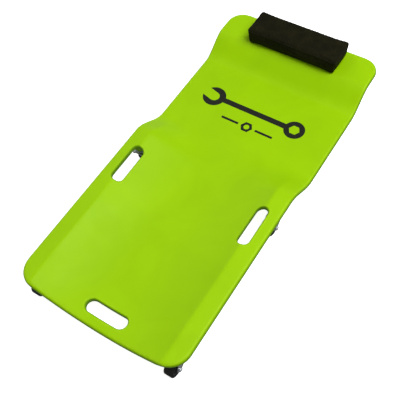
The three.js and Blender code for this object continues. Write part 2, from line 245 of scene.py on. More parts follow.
def onDeck(plan, drop=0.0):
    # plan places (x, v) put at a depth below the deck's top face, in the row frame
    x, v = plan[..., 0], plan[..., 1]
    return np.stack([x, v + deckLow[1], deckTop(x, v) - drop], -1)


def outlineHalfWidth(v, inset):
    # half width at v of the rounded outline set in by inset: straight sides, round corners
    s = deckShape
    widths = []
    for corner, fromEnd in ((s["footCorner"], v), (s["headCorner"], deckLength - v)):
        radius = corner - inset
        into = np.clip(corner - fromEnd, 0, radius)
        widths.append(halfWidth - corner + np.sqrt(radius ** 2 - into ** 2))
    return np.minimum(*widths)


def outlineNormal(plan):
    # outward direction of the outline: away from the nearest corner's centre, or square to a side
    s = deckShape
    x, v = plan[:, 0], plan[:, 1]
    corner = np.where(v < deckLength / 2, s["footCorner"], s["headCorner"])
    acrossPart = np.sign(x) * np.clip(np.abs(x) - (halfWidth - corner), 0, None)
    alongPart = np.where(v < deckLength / 2, np.clip(v - corner, None, 0),
                         np.clip(v - (deckLength - corner), 0, None))
    away = np.stack([acrossPart, alongPart], -1)
    return away / np.linalg.norm(away, axis=1, keepdims=True)


def slotEdge(plan, slot, grow):
    # each plan place carried to the nearest point of a slot's rounded rectangle grown by grow,
    # and the outward direction there
    centre, half, radius = np.array(slot[:2]), np.array(slot[2:4]), slot[4]
    core = np.clip(plan - centre, radius - half, half - radius)
    away = plan - centre - core
    away /= np.linalg.norm(away, axis=-1, keepdims=True)
    return centre + core + away * (radius + grow), away


def windowLoop(grid, j0, j1, i0, i1):
    # a grid's points once round a window, from row j0 to j1 and column i0 to i1
    return np.concatenate([grid[j0, i0:i1], grid[j0:j1, i1],
                           grid[j1, i1:i0:-1], grid[j1:j0:-1, i0]])


def spaced(breaks, step):
    # even steps, close to the one asked for, between each pair of breaks
    runs = [np.linspace(a, b, max(1, round((b - a) / step)) + 1)[:-1]
            for a, b in zip(breaks, breaks[1:])]
    return np.append(np.concatenate(runs), breaks[-1])


def deckPlan():
    # the plan grid shared by both faces of the skin: straight columns that squeeze together to
    # follow the rounded corners, and the rows and columns where the slot windows begin and end
    g, inset = deckGrid, deckShape["rimRound"]
    windows = []
    for x, v, halfX, halfV, _ in handSlots:
        grow = deckShape["collarRound"] + g["slotWindow"]
        windows.append((x - halfX - grow, x + halfX + grow, v - halfV - grow, v + halfV + grow))
    side = halfWidth - inset
    bed = spaced([0, windows[2][1], windows[1][0]], g["step"])
    rail = spaced([windows[1][0], windows[1][1], side], g["ridgeStep"])
    half = np.concatenate([bed, rail[1:]])
    columns = np.concatenate([-half[:0:-1], half])

    s = deckShape
    turn = np.radians(np.linspace(0, 90, g["cornerRows"]))
    footRows = s["footCorner"] - (s["footCorner"] - inset) * np.cos(turn)
    headRows = deckLength - s["headCorner"] + (s["headCorner"] - inset) * np.cos(turn)
    fixed = np.array([inset, windows[2][2], windows[2][3], windows[0][2], windows[0][3],
                      deckLength - inset])
    middle = spaced([s["footCorner"], s["railEnd"], s["shoulderStart"],
                     deckLength - s["headCorner"]], g["rowStep"])
    extra = np.concatenate([footRows, middle, headRows])
    clear = np.abs(extra[:, None] - fixed[None, :]).min(1) > g["clearance"]
    rows = np.unique(np.round(np.concatenate([fixed, extra[clear]]), 6))
    rows = rows[np.append(True, np.diff(rows) > g["sameRow"])]

    reach = outlineHalfWidth(rows, inset)[:, None]
    keepTo = g["squeezeFrom"]
    squeeze = (reach - keepTo) / (side - keepTo)
    over = np.clip(np.abs(columns)[None, :] - keepTo, 0, None)
    x = np.sign(columns) * (np.minimum(np.abs(columns), keepTo)[None, :] + over * squeeze)
    plan = np.stack([x, np.repeat(rows[:, None], len(columns), 1)], -1)

    keep = np.ones((len(rows) - 1, len(columns) - 1), bool)
    loops = []
    for low, high, start, end in windows:
        i0, i1 = [int(np.abs(columns - edge).argmin()) for edge in (low, high)]
        j0, j1 = [int(np.abs(rows - edge).argmin()) for edge in (start, end)]
        keep[j0:j1, i0:i1] = False
        loops.append(windowLoop(plan, j0, j1, i0, i1))
    return plan, keep, loops, windowLoop(plan, 0, len(rows) - 1, 0, len(columns) - 1)


def lipProfile(roundness, depth):
    # (outward, drop) points over a rounded edge, down the wall, round its foot and up inside
    foot = deckShape["lipFoot"]
    over = arc((0, roundness), roundness, -90, 0, 8)
    return profile(over, arc((roundness - foot, depth - foot), foot, 0, 90, 4),
                   arc((foot, depth - foot), foot, 90, 180, 4), (0, deckShape["wall"]))


def sweepLip(patches, edge, outward, section):
    # carries a lip's section along a closed edge: place + outward * a, then down by the drop
    plan = edge[None] + outward[None] * section[:, :1, None]
    patches.grid(onDeck(plan, section[:, 1:2]), wrapColumns=True)


def buildDeck(material):
    # both faces of the skin, a fan of rings round each slot, and the lips that join the faces
    plan, keep, loops, edge = deckPlan()
    s = deckShape
    patches = Patches()
    for drop in (0.0, s["wall"]):
        patches.grid(onDeck(plan, drop), keep=keep)
        for slot, loop in zip(handSlots, loops):
            hole, _ = slotEdge(loop, slot, s["collarRound"])
            blend = smoothStep(np.linspace(0, 1, deckGrid["slotRings"]), -0.6, 1)
            blend = ((blend - blend[0]) / (1 - blend[0]))[:, None, None]
            patches.grid(onDeck(loop * (1 - blend) + hole * blend, drop), wrapColumns=True)
    sweepLip(patches, edge, outlineNormal(edge), lipProfile(s["rimRound"], s["rimDepth"]))
    for slot, loop in zip(handSlots, loops):
        hole, away = slotEdge(loop, slot, s["collarRound"])
        sweepLip(patches, hole, -away, lipProfile(s["collarRound"], s["collarDepth"]))
    piece = addMesh("deckShell", patches, rootBody, material, smooth=50)

    def edgeCloseness(points):
        # 1 on the walls of the rim and slots, falling in proportion to 0 at edgeReach from them
        plan = points[:, :2] - np.array([0, deckLow[1]])
        fromSide = outlineHalfWidth(np.clip(plan[:, 1], 0, deckLength), 0) - np.abs(plan[:, 0])
        fromEnd = np.minimum(plan[:, 1], deckLength - plan[:, 1])
        nearest = np.minimum(fromSide, fromEnd)
        for slot in handSlots:
            edgePlace, _ = slotEdge(plan, slot, 0)
            nearest = np.minimum(nearest, np.linalg.norm(plan - edgePlace, axis=1))
        return np.clip(1 - nearest / s["edgeReach"], 0, 1)

    # this edge mask places the plastic's painted highlight on the crests and painted shade on the
    # walls
    setAttribute(piece, "edge", edgeCloseness)
    return piece


ribShape = {
    "thickness": 3 * mm,
    "depth": 22 * mm,            # from the deck's top face to a rib's lower edge
    "spacingX": 62 * mm,
    "columns": 2,                # on each side of the centre rib
    "pitch": 116 * mm,
    "setback": 24 * mm,
    "fingerRoom": 22 * mm,       # no rib this close to a hand slot
    "endSlope": 16 * mm,         # ribs run out over this length
    "step": 6 * mm,
    "sink": 0.6 * mm,            # how far plates reach up into the skin
}


def bar(patches, plan, top, bottom, thickness):
    # an upright plate along a plan line: a U section with a rounded, slightly narrower foot,
    # carried along the line from bottom heights to top heights, and capped at both ends
    along = np.gradient(plan, axis=0)
    along /= np.linalg.norm(along, axis=1, keepdims=True)
    across = np.stack([along[:, 1], -along[:, 0]], -1)
    half, soft = thickness / 2, 0.8 * mm
    section = [(-1, None), (-0.85, soft), (-0.65, 0.25 * soft), (-0.3, 0),
               (0.3, 0), (0.65, 0.25 * soft), (0.85, soft), (1, None)]
    rings = []
    for side, lift in section:
        z = top if lift is None else bottom + lift
        place = plan + across * side * half
        rings.append(np.stack([place[:, 0], place[:, 1] + deckLow[1], z], -1))
    patches.tube(np.stack(rings, 1))


def ribRuns(plan):
    # stretches of a rib line that keep clear of the hand slots and the deck's rounded outline
    r = ribShape
    clear = np.abs(plan[:, 0]) <= outlineHalfWidth(plan[:, 1], r["setback"]) + 1e-6
    for slot in handSlots:
        centre, half = np.array(slot[:2]), np.array(slot[2:4]) + r["fingerRoom"]
        clear &= (np.abs(plan - centre) > half).any(1)
    breaks = np.flatnonzero(np.diff(clear.astype(int))) + 1
    runs = zip(np.split(plan, breaks), np.split(clear, breaks))
    return [run for run, isClear in runs if isClear[0] and len(run) > 5]


def buildRibs(material):
    # a grid of upright plates under the skin, each following its curve and running out at its ends
    r, patches = ribShape, Patches()
    lines = []
    along = np.arange(r["setback"], deckLength - r["setback"], r["step"])
    for column in range(-r["columns"], r["columns"] + 1):
        lines.append(np.stack([np.full_like(along, column * r["spacingX"]), along], -1))
    across = np.arange(r["setback"] - halfWidth, halfWidth - r["setback"] + 1e-6, r["step"])
    for v in np.arange(r["pitch"], deckLength - r["pitch"] / 2, r["pitch"]):
        lines.append(np.stack([across, np.full_like(across, v)], -1))
    for line in lines:
        for run in ribRuns(line):
            surface = deckTop(run[:, 0], run[:, 1])
            place = np.linalg.norm(run - run[0], axis=1)
            fromEnd = np.minimum(place, place[-1] - place)
            depth = (r["depth"] - deckShape["wall"]) * smoothStep(fromEnd, -r["endSlope"] / 2,
                                                                  r["endSlope"])
            top = surface - deckShape["wall"] + r["sink"]
            bar(patches, run, top, surface - deckShape["wall"] - depth, r["thickness"])
    return addMesh("deckRibs", patches, rootBody, material)


casterShape = {
    "wheelRadius": 25.4 * mm,
    "wheelWidth": 24 * mm,
    "trail": 19 * mm,            # kingpin axis to axle axis
    "sheet": 2.5 * mm,
    "sideRoom": 1.2 * mm,
    "crownRoom": 3.2 * mm,
    "crownHalf": 17 * mm,
    "bend": 4 * mm,              # outer radius of the fork's folds
    "eye": 8.5 * mm,
    "axle": 3 * mm,
    "acrossFlats": 10 * mm,
    "boltHead": 4 * mm,
    "nut": 5 * mm,
    "tyreDepth": 6.4 * mm,
    "kingpin": 4 * mm,
    "kingpinHead": 7.5 * mm,
    "cageHeight": 2.8 * mm,
    "cageWidth": 7.6 * mm,
    "hatThickness": 3 * mm,
    "hatWall": 1.4 * mm,
    "stem": 5.5 * mm,
    "stemLength": 19 * mm,
    "groove": 4.4 * mm,          # radius in the grip ring's groove
    "grooveLength": 3 * mm,
    "grooveFromTop": 3.5 * mm,
    "balls": 14,
    "ballCircle": 9.3 * mm,
    "threadPitch": 1 * mm,
    "threadDepth": 0.35 * mm,
    "socketRoom": 1.2 * mm,      # round the stem in its socket
    "socketWall": 6 * mm,
    "gusset": 3 * mm,
    "gussetReach": 12 * mm,
    "gap": 0.3 * mm,
}


def casterHeights():
    # heights above the floor that follow from the caster's sizes, and the radii of its race
    c = casterShape
    h = {"crownUnder": 2 * c["wheelRadius"] + c["crownRoom"]}
    h["crownTop"] = h["crownUnder"] + c["sheet"]
    h["hatUnder"] = h["crownTop"] + c["cageHeight"] + 2 * c["gap"]
    h["hatTop"] = h["hatUnder"] + c["hatThickness"]
    h["stemTop"] = h["hatTop"] + c["stemLength"]
    h["cageInner"] = c["kingpin"] + c["gap"] + 1.2 * mm
    h["cageOuter"] = h["cageInner"] + c["cageWidth"]
    h["hatRadius"] = h["cageOuter"] + c["gap"] + c["hatWall"]
    h["legInner"] = c["wheelWidth"] / 2 + c["sideRoom"]
    h["legOuter"] = h["legInner"] + c["sheet"]
    return h


casterAt = casterHeights()
kingpins = {joint["name"][:-5]: np.array(joint["pos_m"]) for joint in frame["joints"]
            if joint["name"].endswith("_turn")}
axles = {joint["name"][:-5]: np.array(joint["pos_m"]) for joint in frame["joints"]
         if joint["name"].endswith("_roll")}


def buildSockets(material):
    # a turned boss with a blind bore for each stem, and four gussets sloping up to the skin
    c, h, patches = casterShape, casterAt, Patches()
    bore = c["stem"] + c["socketRoom"]
    outer = bore + c["socketWall"]
    floor = h["hatTop"] + c["gap"]
    for centre in kingpins.values():
        kingpin = np.array([centre[0], centre[1] - deckLow[1]])
        around = kingpin + turned([(outer, 0)], 24)[0, :, :2]
        top = deckTop(around[:, 0], around[:, 1]).min() - 0.6 * deckShape["wall"]
        boreTop = h["stemTop"] + c["gap"]
        section = profile((0, boreTop), (bore, boreTop), (bore, floor + 0.8 * mm),
                          (bore + 0.8 * mm, floor), arc((outer - mm, floor + mm), mm, -90, 0),
                          (outer + 0.4 * mm, top), (0, top))
        patches.turn(section, 48, centre=(*centre[:2], 0))
        reach = np.linspace(bore + mm, outer + c["gussetReach"], 9)
        for angle in range(0, 360, 90):
            away = np.array([math.cos(math.radians(angle)), math.sin(math.radians(angle))])
            plan = kingpin + reach[:, None] * away
            under = deckTop(plan[:, 0], plan[:, 1]) - deckShape["wall"]
            slope = smoothStep(reach, outer, outer + 1.6 * c["gussetReach"])
            low = floor + 4 * mm + (under - floor - 4 * mm) * slope * 1.1
            bar(patches, plan, under + ribShape["sink"], np.minimum(low, under - mm), c["gusset"])
    return addMesh("casterSockets", patches, rootBody, material)


def cornerRadius(acrossFlats):
    # from a hexagon's centre to a corner: half the distance across flats over cos 30°
    return acrossFlats / 2 / math.cos(math.pi / 6)


def hexagon(acrossFlats):
    # radius of a hexagon's side at each angle, kept below the turned profile's own radius
    def radiusAt(angle, radius, height):
        fromFlat = (angle + math.pi / 6) % (math.pi / 3) - math.pi / 6
        return np.minimum(radius, acrossFlats / 2 / np.cos(fromFlat))
    return radiusAt


def threaded(radius, pitch, depth, start):
    # a ridge that climbs one pitch in each turn, from the height where the thread starts
    def radiusAt(angle, plain, height):
        turn = (height / pitch - angle / (2 * math.pi)) % 1
        cut = depth * np.abs(2 * turn - 1)
        return np.where((plain >= radius - 1e-6) & (height <= start), plain - cut, plain)
    return radiusAt


def movedPatches(patches, centre, turn):
    # a copy of the patches turned about Z by an angle in radians, then carried to centre
    copy = Patches()
    spin = np.array(Matrix.Rotation(turn, 3, "Z"))
    copy.points = [points @ spin.T + np.asarray(centre) for points in patches.points]
    copy.faces, copy.count = patches.faces, patches.count
    return copy


def tyrePatches():
    # closed profile round the wheel's axis: bore, side, rounded shoulder and slightly crowned
    # tread with a fine mould line round its middle
    c, patches = casterShape, Patches()
    half, outer = c["wheelWidth"] / 2, c["wheelRadius"]
    inner = outer - c["tyreDepth"]
    turn = np.linspace(0, math.pi / 2, 9)
    shoulder = np.stack([outer - 2.4 * mm * (1 - np.sin(turn)),
                         half - 3.6 * mm * (1 - np.cos(turn))], -1)
    side = profile((inner, half - 0.8 * mm), (inner + 0.5 * mm, half - 0.2 * mm),
                   (inner + 1.2 * mm, half), shoulder, (outer, 3 * mm), (outer, 0.35 * mm),
                   (outer - 0.25 * mm, 0.2 * mm))
    mirrored = side[::-1] * [1, -1]
    patches.turn(np.concatenate([side, mirrored]), 96, closed=True, axis="x")
    return patches


hubShape = {
    "boss": 8 * mm,              # radius of the boss round the axle
    "bossHalf": 12.5 * mm,       # half its length
    "rimWall": 3.5 * mm,
    "rimHalf": 11 * mm,
    "webHalf": 3 * mm,           # half the web's thickness
    "ribs": 8,                   # on each side of the web
    "ribDip": 1.5 * mm,          # a rib's edge swings this far either way
}


def hubPatches():
    # boss, web and rim as one closed profile with drafted walls, and radial ribs on both sides
    c, hub, patches = casterShape, hubShape, Patches()
    inner = c["wheelRadius"] - c["tyreDepth"]
    bore, boss, rim = c["axle"] + c["gap"], hub["boss"], inner - hub["rimWall"]
    web, bossHalf, rimHalf = hub["webHalf"], hub["bossHalf"], hub["rimHalf"]
    outer = inner - c["gap"]
    side = profile(
        (outer, 0), (outer, rimHalf - 0.8 * mm), (outer - 0.8 * mm, rimHalf),
        (rim + 1.2 * mm, rimHalf), (rim + 0.6 * mm, rimHalf - 0.6 * mm),
        (rim, web + 1.5 * mm), arc((rim - 1.5 * mm, web + 1.5 * mm), 1.5 * mm, 0, -90),
        arc((boss + 1.5 * mm, web + 1.5 * mm), 1.5 * mm, -90, -180),
        (boss - 0.3 * mm, bossHalf - 0.8 * mm), (boss - 1.1 * mm, bossHalf),
        (bore + 0.5 * mm, bossHalf), (bore, bossHalf - 0.5 * mm), (bore, 0))
    mirrored = side[-2:0:-1] * [1, -1]
    patches.turn(np.concatenate([side, mirrored]), 72, closed=True, axis="x")
    reach = np.linspace(boss - 0.5 * mm, rim + 0.4 * mm, 5)
    lift = rimHalf - mm + hub["ribDip"] * (np.cos(np.linspace(0, 2 * math.pi, 5)) - 1)
    for turn in range(hub["ribs"]):
        angle = turn * 2 * math.pi / hub["ribs"]
        along = np.array([0, math.cos(angle), math.sin(angle)])
        across = np.array([0, -math.sin(angle), math.cos(angle)])
        for sign in (-1, 1):
            ring = []
            for offset, drop in ((-0.9, None), (-0.8, 0.3), (-0.5, 0), (0.5, 0), (0.8, 0.3),
                                 (0.9, None)):
                height = web - 0.5 * mm if drop is None else lift - drop * mm
                place = reach[:, None] * along + across * offset * mm
                place[:, 0] = sign * height
                ring.append(place)
            patches.tube(np.stack(ring, 1))
    return patches


forkGrid = {
    "across": 15,                # points along the fold line
    "rings": 7,                  # rings round each axle hole
    "pinWindow": 3,              # cells on each side of the kingpin hole
}


def legOutline():
    # half plan of a fork leg seen from the side, (y, z) from the kingpin on the floor: along the
    # fold line, down the front edge, round the axle eye and up the back edge
    c, h = casterShape, casterAt
    foldZ = h["crownTop"] - c["bend"]
    eye = (-c["trail"], c["wheelRadius"])
    half = c["crownHalf"]
    fold = np.stack([np.linspace(-half, half, forkGrid["across"]),
                     np.full(forkGrid["across"], foldZ)], -1)
    round3 = 3 * mm
    corner = arc((half - round3, foldZ - 3 * mm), round3, 0, -48, 4)
    eyeArc = arc(eye, c["eye"], -42, -180, 17)
    front = np.linspace(corner[-1], eyeArc[0], 9)[1:-1]
    back = np.linspace(eyeArc[-1], (-half - 2.6 * mm, foldZ - 7 * mm), 7)[1:]
    last = np.linspace(back[-1], fold[0], 4)[1:-1]
    return np.array(eye), np.concatenate([fold, corner, front, eyeArc, back, last])


def forkPatches():
    # a strip folded over the wheel: the mid-surface of both legs and the crown between them.
    # A leg is rings from its axle hole out to its outline; the crown is a grid with a round hole
    c, h, g, patches = casterShape, casterAt, forkGrid, Patches()
    eye, outline = legOutline()
    legX = (h["legInner"] + h["legOuter"]) / 2
    crownZ = (h["crownUnder"] + h["crownTop"]) / 2
    bend = crownZ - (h["crownTop"] - c["bend"])
    away = outline - eye
    hole = eye + away / np.linalg.norm(away, axis=1, keepdims=True) * (c["axle"] + 0.2 * mm)
    blend = np.linspace(0, 1, g["rings"])[:, None, None]
    plan = hole * (1 - blend) + outline * blend
    for side in (-1, 1):
        leg = np.stack([np.full(plan.shape[:2], side * legX), plan[..., 0], plan[..., 1]], -1)
        patches.grid(leg, wrapColumns=True)

    fold = arc((legX - bend, crownZ - bend), bend, 0, 90, 6)
    flat = np.linspace(legX - bend, 0, 7)[1:]
    half = np.concatenate([fold, np.stack([flat, np.full(6, crownZ)], -1)])
    path = np.concatenate([half, half[-2::-1] * [-1, 1]])
    across = outline[:g["across"], 0]
    crown = np.stack([np.repeat(path[:, :1], g["across"], 1),
                      np.repeat(across[None], len(path), 0),
                      np.repeat(path[:, 1:], g["across"], 1)], -1)
    middleRow, middleColumn, reach = len(path) // 2, g["across"] // 2, g["pinWindow"]
    j0, j1 = middleRow - reach - 1, middleRow + reach + 1
    i0, i1 = middleColumn - reach, middleColumn + reach
    keep = np.ones((len(path) - 1, g["across"] - 1), bool)
    keep[j0:j1, i0:i1] = False
    patches.grid(crown, keep=keep)
    loop = windowLoop(crown, j0, j1, i0, i1)
    direction = loop[:, :2] / np.linalg.norm(loop[:, :2], axis=1, keepdims=True)
    pinHole = np.column_stack([direction * (c["kingpin"] + c["gap"]),
                               np.full(len(loop), crownZ)])
    patches.grid(np.stack([loop, loop * 0.5 + pinHole * 0.5, pinHole]), wrapColumns=True)
    return patches


def stemPatches():
    # riveted kingpin, pressed hat with its skirt, and the grip stem with its ring groove
    c, h, patches = casterShape, casterAt, Patches()
    pinFoot = h["crownUnder"] - c["gap"] - 2.5 * mm
    pinTop = pinFoot + 2.5 * mm
    head, pin, hat, stem = c["kingpinHead"], c["kingpin"], h["hatRadius"], c["stem"]
    skirtFoot = h["crownTop"] + 2 * c["gap"]
    inner = hat - c["hatWall"]
    groove, grooveTop = c["groove"], h["stemTop"] - c["grooveFromTop"]
    grooveFoot = grooveTop - c["grooveLength"]
    section = profile(
        (0, pinFoot), (head * 0.55, pinFoot + 0.15 * mm), (head - 0.9 * mm, pinFoot + 0.7 * mm),
        (head, pinFoot + 1.6 * mm), (head, pinTop - 0.3 * mm), (head - 0.3 * mm, pinTop),
        (pin, pinTop), (pin, h["hatUnder"]), (inner - mm, h["hatUnder"]),
        arc((inner - mm, h["hatUnder"] - mm), mm, 90, 0), (inner, skirtFoot + 0.2 * mm),
        (inner + 0.2 * mm, skirtFoot), (hat - 0.3 * mm, skirtFoot), (hat, skirtFoot + 0.3 * mm),
        arc((hat - 1.8 * mm, h["hatTop"] - 1.8 * mm), 1.8 * mm, 0, 90, 6),
        (stem + 1.4 * mm, h["hatTop"]), arc((stem + mm, h["hatTop"] + mm), mm, -90, -180, 4),
        (stem, grooveFoot - 0.3 * mm), (stem - 0.3 * mm, grooveFoot), (groove, grooveFoot),
        (groove, grooveTop), (stem - 0.3 * mm, grooveTop), (stem, grooveTop + 0.3 * mm),
        (stem, h["stemTop"] - 1.5 * mm), (stem - 1.5 * mm, h["stemTop"]), (0, h["stemTop"]))
    patches.turn(section, 48)
    return patches


def racePatches():
    # a thin cage ring, and balls round it: each ball is rings of points round its own centre
    c, h, patches = casterShape, casterAt, Patches()
    foot = h["crownTop"] + c["gap"]
    middle = foot + c["cageHeight"] / 2
    inner, outer = h["cageInner"] + 0.4 * mm, h["cageOuter"] - 0.4 * mm
    half = 0.5 * mm
    ring = profile((inner, middle - half), (outer, middle - half), (outer, middle + half),
                   (inner, middle + half))
    patches.turn(ring, 48, closed=True)
    ball = arc((0, middle), c["cageHeight"] / 2 - 0.02 * mm, -90, 90, 9)
    for turn in range(c["balls"]):
        angle = turn * 2 * math.pi / c["balls"]
        centre = (c["ballCircle"] * math.cos(angle), c["ballCircle"] * math.sin(angle), 0)
        patches.turn(ball, 14, centre=centre)
    return patches


def boltPatches():
    # hexagon head with a chamfered top outside one leg, and a shank that ends in a thread
    c, h, patches = casterShape, casterAt, Patches()
    corner = cornerRadius(c["acrossFlats"])
    foot = h["legOuter"] + c["gap"]
    top = foot + c["boltHead"]
    washer = 0.4 * mm
    head = profile((0, foot), (corner - 1.2 * mm, foot),
                   (corner - 1.2 * mm, foot + washer), (corner - 0.7 * mm, foot + washer),
                   (corner + 0.2 * mm, foot + washer + 0.4 * mm), (corner + 0.2 * mm, top - 0.9 * mm),
                   (c["acrossFlats"] / 2 - 0.5 * mm, top), (3.2 * mm, top),
                   (2.9 * mm, top - 0.3 * mm), (0, top - 0.3 * mm))
    patches.turn(head, 48, axis="x", radiusAt=hexagon(c["acrossFlats"]))
    end = -h["legOuter"] - c["gap"] - c["nut"] - 1.5 * mm
    threadStart = -h["legOuter"] + 1.5 * mm
    run = np.arange(end + mm, threadStart + 0.5 * mm, 0.2 * mm)
    shank = profile((0, end), (c["axle"] - 0.9 * mm, end),
                    np.stack([np.full_like(run, c["axle"]), run], -1),
                    (c["axle"], foot + 0.2 * mm), (0, foot + 0.2 * mm))
    patches.turn(shank, 24, axis="x", radiusAt=threaded(c["axle"], c["threadPitch"],
                                                        c["threadDepth"], threadStart))
    return patches


def nutPatches():
    # hexagon nut with a chamfer at each end and a round locking collar
    c, h, patches = casterShape, casterAt, Patches()
    corner = cornerRadius(c["acrossFlats"])
    top = -h["legOuter"] - c["gap"]
    end = top - c["nut"]
    bore, flat = c["axle"] + 0.15 * mm, c["acrossFlats"] / 2
    section = profile((bore, top), (flat - 0.2 * mm, top), (corner + 0.2 * mm, top - 0.7 * mm),
                      (corner + 0.2 * mm, end + 2 * mm), (flat - 0.2 * mm, end + 1.5 * mm),
                      (flat - 0.4 * mm, end + 0.8 * mm),
                      arc((flat - 1.1 * mm, end + 0.7 * mm), 0.7 * mm, 0, -90, 4),
                      (bore + 0.3 * mm, end), (bore, end + 0.3 * mm))
    patches.turn(section, 48, closed=True, axis="x", radiusAt=hexagon(c["acrossFlats"]))
    return patches


def thicken(piece, thickness, round=0.4 * mm):
    # a sheet given its thickness evenly about the surface it was made on, edges slightly rounded
    solid = piece.modifiers.new("sheet", "SOLIDIFY")
    solid.thickness = thickness
    solid.offset = 0
    bevel = piece.modifiers.new("edge", "BEVEL")
    bevel.width = round
    bevel.segments = 2
    bevel.limit_method = "ANGLE"
    bevel.angle_limit = math.radians(60)


def pieceName(place, part):
    # foot_left and Tyre give footLeftTyre
    first, second = place.split("_")
    return first + second.capitalize() + part


def buildCasters(looks):
    # the same pieces at each corner: part, its patches, body, record slot, look and CAD node.
    # The swivel points from kingpin to axle; made facing -Y, so its turn is the angle from there.
    # Pieces on the axle take half a turn more on the left, to put the bolt head outside
    parts = [
        ("Stem", stemPatches(), "frame_deck", "zinc_steel", "zinc", "stem"),
        ("BallRace", racePatches(), "swivel", "spring_steel", "spring", "ball_cage"),
        ("Fork", forkPatches(), "swivel", "zinc_steel", "zinc", "fork"),
        ("AxleBolt", boltPatches(), "swivel", "zinc_steel", "zinc", "axle_bolt"),
        ("AxleNut", nutPatches(), "swivel", "zinc_steel", "zinc", "axle_nut"),
        ("Hub", hubPatches(), "wheel", "hub_plastic", "hub", "wheel_hub"),
        ("Tyre", tyrePatches(), "wheel", "tyre_rubber", "rubber", "tyre"),
    ]
    for place, kingpin in kingpins.items():
        axle = axles[place]
        trailing = math.atan2(axle[0] - kingpin[0], kingpin[1] - axle[1])
        for part, patches, body, slot, look, node in parts:
            centre = (kingpin[0], kingpin[1], 0)
            turn = 0 if body == rootBody else trailing
            if part in ("AxleBolt", "AxleNut", "Hub", "Tyre"):
                centre = axle
                turn = trailing + (math.pi if kingpin[0] < 0 else 0)
            rides = body if body == rootBody else f"{place}_{body}"
            piece = addMesh(pieceName(place, part), movedPatches(patches, centre, turn),
                            rides, looks[look])
            if part == "Fork":
                thicken(piece, casterShape["sheet"])
            if part == "Tyre":
                outer = casterShape["wheelRadius"]
                setAttribute(piece, "wear", lambda points, at=axle: smoothStep(
                    np.hypot(points[:, 1] - at[1], points[:, 2] - at[2]), outer - 2 * mm, outer))
            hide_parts(f"{place}_{node}")


screwShape = {
    "flats": 7.2 * mm,           # across the head's flats
    "headHeight": 3.2 * mm,
    "flange": 1.05 * mm,         # the flange is round up to this height above its seat
    "shank": 2.1 * mm,           # radius
    "pitch": 1.25 * mm,
    "threadDepth": 0.5 * mm,
    "point": 2 * mm,             # plain length at the tip
}


def buildPadScrews(material):
    # flanged hexagon heads under the head panel, with threaded shanks up into the board
    w = screwShape
    corner = cornerRadius(w["flats"])
    for number in range(1, 5):
        low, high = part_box(f"pad_screw_{number}")
        x, y = (low[0] + high[0]) / 2, (low[1] + high[1]) / 2
        foot, flange, shank = low[2], (high[0] - low[0]) / 2, w["shank"]
        seat = foot + w["headHeight"]
        head = profile((0, foot + 0.3 * mm), (2.4 * mm, foot + 0.3 * mm), (2.7 * mm, foot),
                       (3.3 * mm, foot), (corner + 0.1 * mm, foot + 0.6 * mm),
                       (corner + 0.1 * mm, seat - 1.1 * mm), (flange, seat - 0.9 * mm),
                       (flange, seat), (0, seat))
        patches = Patches()
        patches.turn(head, 48, centre=(x, y, 0), radiusAt=lambda angle, radius, height: np.where(
            height < seat - w["flange"], hexagon(w["flats"])(angle, radius, height), radius))
        run = np.arange(seat + 0.2 * mm, high[2] - w["point"], 0.25 * mm)
        stalk = profile((0, seat - 0.3 * mm), (shank, seat - 0.3 * mm),
                        np.stack([np.full_like(run, shank), run], -1), (0, high[2]))
        patches.turn(stalk, 20, centre=(x, y, 0), radiusAt=threaded(
            shank, w["pitch"], w["threadDepth"], high[2] - w["point"]))
        piece = addMesh(f"padScrew{number}", patches, rootBody, material)
        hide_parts(f"pad_screw_{number}")


padShape = {
    "corner": 6 * mm,            # rounding of every edge before the pad is blown up
    "shrink": 1.2 * mm,          # how much smaller it starts
    "gap": 0.3 * mm,             # under the pad, above the board and the deck
    "tuck": 5 * mm,              # each end leans in this much at the bottom
    "drape": 12 * mm,            # foam this far up follows the deck where it falls away
    "voxel": 4 * mm,
    "pressure": 4.0,
    "cap": 2.4 * mm,             # the furthest that the simulation may move a point
    "frames": 20,
    "seamDrop": 4.5 * mm,        # seam below the top face
    "seamDepth": 0.7 * mm,
    "seamWidth": 1.4 * mm,
    "pucker": 0.35 * mm,
    "puckerLength": 11 * mm,
    "stitch": 3.4 * mm,          # pitch of the stitches
    "stitchDrop": 2.6 * mm,      # stitches below the seam
    "stitchCorner": 7 * mm,      # rounding of the line of stitches
    "threadRadius": 0.32 * mm,
}


def applyModifiers(piece):
    # the mesh as its modifiers make it, with none left on the piece
    graph = bpy.context.evaluated_depsgraph_get()
    result = bpy.data.meshes.new_from_object(piece.evaluated_get(graph))
    piece.modifiers.clear()
    old, piece.data = piece.data, result
    bpy.data.meshes.remove(old)


def blownUp(piece, shape):
    # cloth with pressure inside: each point goes where the simulation takes it, at most cap away
    scene = bpy.context.scene
    remesh = piece.modifiers.new("remesh", "REMESH")
    remesh.mode = "VOXEL"
    remesh.voxel_size = shape["voxel"]
    applyModifiers(piece)
    rest = places(piece.data)
    cloth = piece.modifiers.new("cloth", "CLOTH")
    cloth.settings.use_pressure = True
    cloth.settings.uniform_pressure_force = shape["pressure"]
    cloth.settings.effector_weights.gravity = 0
    cloth.point_cache.frame_end = shape["frames"]
    for frameNumber in range(1, shape["frames"] + 1):
        scene.frame_set(frameNumber)
    graph = bpy.context.evaluated_depsgraph_get()
    move = places(piece.evaluated_get(graph).data) - rest
    piece.modifiers.remove(cloth)
    scene.frame_set(1)
    length = np.linalg.norm(move, axis=1, keepdims=True)
    setPlaces(piece.data, rest + move * np.minimum(1, shape["cap"] / np.maximum(length, 1e-9)))


